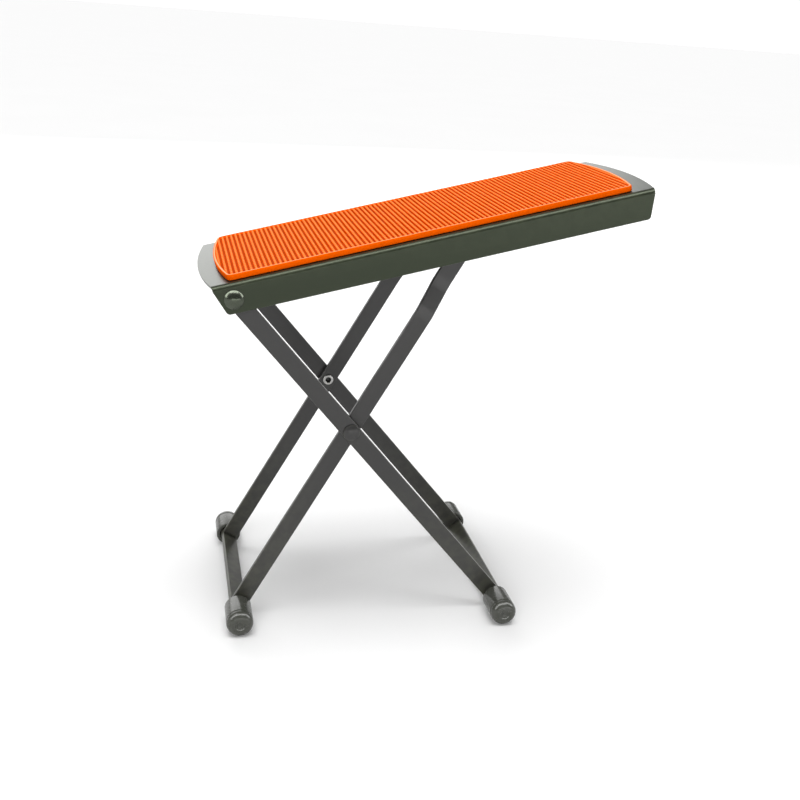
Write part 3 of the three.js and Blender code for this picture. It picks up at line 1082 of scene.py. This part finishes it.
def make_caps():
    low, high = extent("outer_cap_rear", outer)
    radius, length = high.z, high.y - low.y
    bore, depth = radius - CAP_WALL, length - CAP_FLOOR
    shoulder = length - CAP_ROUND
    outline = [(0, depth), (bore - RIM_ROUND, depth)]
    outline += arc(bore - RIM_ROUND, depth - RIM_ROUND, RIM_ROUND, 90, 0, 3)[1:]
    outline += arc(bore + RIM_ROUND, RIM_ROUND, RIM_ROUND, 180, 270, 4)
    outline += arc(radius - RIM_ROUND, RIM_ROUND, RIM_ROUND, 270, 360, 4)
    groove_end = shoulder - GROOVE_TO_SHOULDER
    groove_start = groove_end - GROOVE_WIDTH
    outline += [(radius, groove_start), (radius - GROOVE, groove_start + GROOVE_SLOPE)]
    outline += [(radius - GROOVE, groove_end - GROOVE_SLOPE), (radius, groove_end)]
    flat = radius - CAP_ROUND
    face = length - FACE_SUNK
    outline += arc(flat, shoulder, CAP_ROUND, 0, 90, 9)
    outline += [(FACE_OUTER * flat, length), (FACE_INNER * flat, face)]
    outline += arc(DIMPLE, face - DIMPLE_DEPTH / 2, DIMPLE_DEPTH / 2, 90, 180, 3)
    outline += [(DIMPLE / 2, face - DIMPLE_DEPTH), (0, face - DIMPLE_DEPTH)]
    pattern = turned("cap_pattern", outline, FINE_ROUND)
    for title, drawing in (("outer", outer), ("inner", inner)):
        for side in ("front", "rear"):
            node = f"{title}_cap_{side}"
            low, high = extent(node, drawing)
            rim = high.y if side == "front" else low.y
            place = ((low.x + high.x) / 2, rim, 0)
            put(pattern, f"{title}_foot_cap_{side}", place, side,
                drawing, f"{title}_frame", "cap_rubber", rubber, node)
    bpy.data.objects.remove(pattern)


make_caps()

# %% [markdown]
# ## Rivets
#
# Each pivot is one rivet: a low dome outside, a shank, and a hollow tail inside that a
# press has rolled outward into a lip. The dome is an arc, not a half ball, with a short
# upright edge under it where the dome's tool stopped. The bars' own rivets are coated with
# them, but on every rivet the press has left the tail bare, so the faces between bore and
# head are given zinc.

# %% Rivets
TAIL_LIP = 3.6 * MM
TAIL_THICK = 1.0 * MM
TAIL_BORE = 1.9 * MM
TAIL_DEPTH = 3.0 * MM
TAIL_POINT = 0.7 * TAIL_BORE
TAIL_TAPER = 0.5 * MM
HEAD_EDGE = 0.5 * MM
HEAD_ROUND = 0.15 * MM
HEAD_GAP = 0.3 * MM
PIVOT_SHANK = 2.6 * MM
CROSS_SHANK = 2.3 * MM


def make_rivets(title, shank, head, tail_end, head_face, top, drawing, body, paint):
    rise = top - head_face - HEAD_EDGE
    dome = (head ** 2 + rise ** 2) / (2 * rise)
    start = degrees(acos(head / dome))
    lip = TAIL_THICK / 2
    bore_end = tail_end + TAIL_DEPTH
    outline = [(0, bore_end), (TAIL_POINT, bore_end)]
    outline += [(TAIL_BORE, bore_end - TAIL_TAPER), (TAIL_BORE, tail_end + lip)]
    outline += arc(TAIL_BORE + lip, tail_end + lip, lip, 180, 270, 4)[1:]
    outline += arc(TAIL_LIP - lip, tail_end + lip, lip, 270, 450, 8)
    outline += [(shank, tail_end + TAIL_THICK), (shank, head_face)]
    outline += arc(head - HEAD_ROUND, head_face + HEAD_ROUND, HEAD_ROUND, 270, 360, 3)
    outline += [(head, head_face + HEAD_EDGE)]
    outline += arc(0, top - dome, dome, start, 90, 12)[1:-1]
    outline += [(0, top)]
    pattern = turned(f"{title}_pattern", outline, FINE_ROUND)
    for side in ("front", "rear"):
        rivet = put(pattern, f"{title}_{side}_turned", (0, 0, 0), side,
                    drawing, body, "coat", paint, f"{title}_{side}")
        rivet.data.materials.append(zinc)
        for face in rivet.data.polygons:
            centre = drawing.inverted() @ face.center
            outside = Vector((centre.x, centre.z)).length > TAIL_BORE
            face.material_index = int(outside and abs(centre.y) < head_face - NEAR)
    bpy.data.objects.remove(pattern)


def rivet_ends(node, drawing):
    """Where a rear rivet's tail ends, where its head ends, and its head's radius."""
    low, high = extent(node, drawing)
    return low.y, high.y, high.z


tail, top, head = rivet_ends("pivot_rivet_rear", tray)
face = extent("top_plate", tray)[1].y + HEAD_GAP
make_rivets("pivot_rivet", PIVOT_SHANK, head, tail, face, top, tray, "platform", smoky)
tail, top, head = rivet_ends("cross_rivet_rear", outer)
face = extent("outer_leg_rear", outer)[1].y + HEAD_GAP
make_rivets("cross_rivet", CROSS_SHANK, head, tail, face, top, outer, "outer_frame", coat)

# %% [markdown]
# ## Washers, rod and push-on washers
#
# Spacing washers keep the bars from rubbing on each other and on the tray. The locking
# rod is plain round steel with chamfered ends. A push-on washer grips it outside each
# bar: it is stamped from thin spring steel and slightly dished.

# %% Washers
WASHER_EDGE = 0.35 * MM


def make_washers(title, drawing, body):
    low, high = extent(f"{title}_rear", drawing)
    hole = RIVET_HOLE if "pivot" in title else CROSS_HOLE
    edge = min(WASHER_EDGE, (high.y - low.y) / 3)
    outline = [(hole, low.y + edge), (hole + edge, low.y)]
    outline += arc(high.z - edge, low.y + edge, edge, 270, 360, 3)
    outline += arc(high.z - edge, high.y - edge, edge, 0, 90, 3)
    outline += [(hole + edge, high.y), (hole, high.y - edge), (hole, low.y + edge)]
    pattern = turned(f"{title}_pattern", outline, PLAIN_ROUND)
    for side in ("front", "rear"):
        put(pattern, f"{title}_{side}_turned", (0, 0, 0), side,
            drawing, body, "zinc", zinc, f"{title}_{side}")
    bpy.data.objects.remove(pattern)


make_washers("pivot_washer", tray, "platform")
make_washers("cross_washer", outer, "outer_frame")

# %% Rod
CHAMFER = 0.6 * MM


def make_rod():
    low, high = extent("locking_rod", inner)
    radius, end = (high.z - low.z) / 2, high.y
    outline = [(0, -end), (radius - CHAMFER, -end), (radius, CHAMFER - end)]
    outline += [(radius, end - CHAMFER), (radius - CHAMFER, end), (0, end)]
    rod = turned("locking_rod_turned", outline, PLAIN_ROUND)
    rod.matrix_world = Matrix.Translation(((low.x + high.x) / 2, 0, 0))
    settle(rod, inner, "inner_frame", "zinc", zinc, "locking_rod")


make_rod()

# %% Push-on washers
CLIP_SHEET = 0.45 * MM
CLIP_HOLE = 3.1 * MM
CLIP_BRIM = 1.6 * MM
BRIM_RISE = 0.25


def make_clips():
    low, high = extent("rod_clip_rear", inner)
    rod_x, radius = (low.x + high.x) / 2, high.z
    dish = high.y - low.y - CLIP_SHEET
    brim, brim_y = radius - CLIP_BRIM, low.y + BRIM_RISE * dish
    outline = [(CLIP_HOLE, low.y + dish), (brim, brim_y), (radius, low.y)]
    outline += [(radius, low.y + CLIP_SHEET), (brim, brim_y + CLIP_SHEET)]
    outline += [(CLIP_HOLE, high.y), (CLIP_HOLE, low.y + dish)]
    pattern = turned("clip_pattern", outline, PLAIN_ROUND)
    for side in ("front", "rear"):
        put(pattern, f"push_washer_{side}", (rod_x, 0, 0), side,
            inner, "inner_frame", "zinc", zinc, f"rod_clip_{side}")
    bpy.data.objects.remove(pattern)


make_clips()

# %% [markdown]
# ## Racks
#
# Under the tray two angle strips are welded on. Each has a row of round notches, and the
# rod rests in a pair of them: which pair sets how high the tray stands. A rack is a box for
# the upright web. The top band of its inner side is drawn out into the foot that lies
# under the tray, and the notches are drilled across.

# %% Racks
RACK_FOOT = 8 * MM
RACK_WEB = 2 * MM
RACK_FOOT_THICK = 1.4 * MM
RACK_END = 9 * MM
RACK_EASE = 0.3 * MM
NOTCH_PITCH = 16 * MM
NOTCH_RADIUS = 3.4 * MM
NOTCH_DEPTH = 2.6 * MM


def make_rack(side):
    node = f"rack_{side}"
    low, high = extent(node, tray)
    outward = -1 if side == "front" else 1
    web_out = high.y if side == "rear" else low.y
    web_in = web_out - outward * RACK_WEB
    near_y, far_y = sorted((web_in, web_out))
    rack = block(f"notched_{node}", (low.x, near_y, low.z), (high.x, far_y, high.z))
    with editing(rack):
        slice_at((0, 0, high.z - RACK_FOOT_THICK), (0, 0, 1))
        pick("faces", lambda f: f.normal.y * outward < -0.5
             and f.calc_center_median().z > high.z - RACK_FOOT_THICK)
        reach = (0, -outward * (RACK_FOOT - RACK_WEB), 0)
        bpy.ops.mesh.extrude_region_move(TRANSFORM_OT_translate={"value": reach})
    notches = 1 + int((high.x - low.x - 2 * RACK_END) / NOTCH_PITCH + 0.5)
    for i in range(notches):
        x = low.x + RACK_END + i * NOTCH_PITCH
        drill(rack, NOTCH_RADIUS, x, low.z + NOTCH_DEPTH - NOTCH_RADIUS)
    ease(rack, RACK_EASE, 2, 50)
    smooth(rack, 50)
    settle(rack, tray, "platform", "coat", coat, node)


for side in ("front", "rear"):
    make_rack(side)
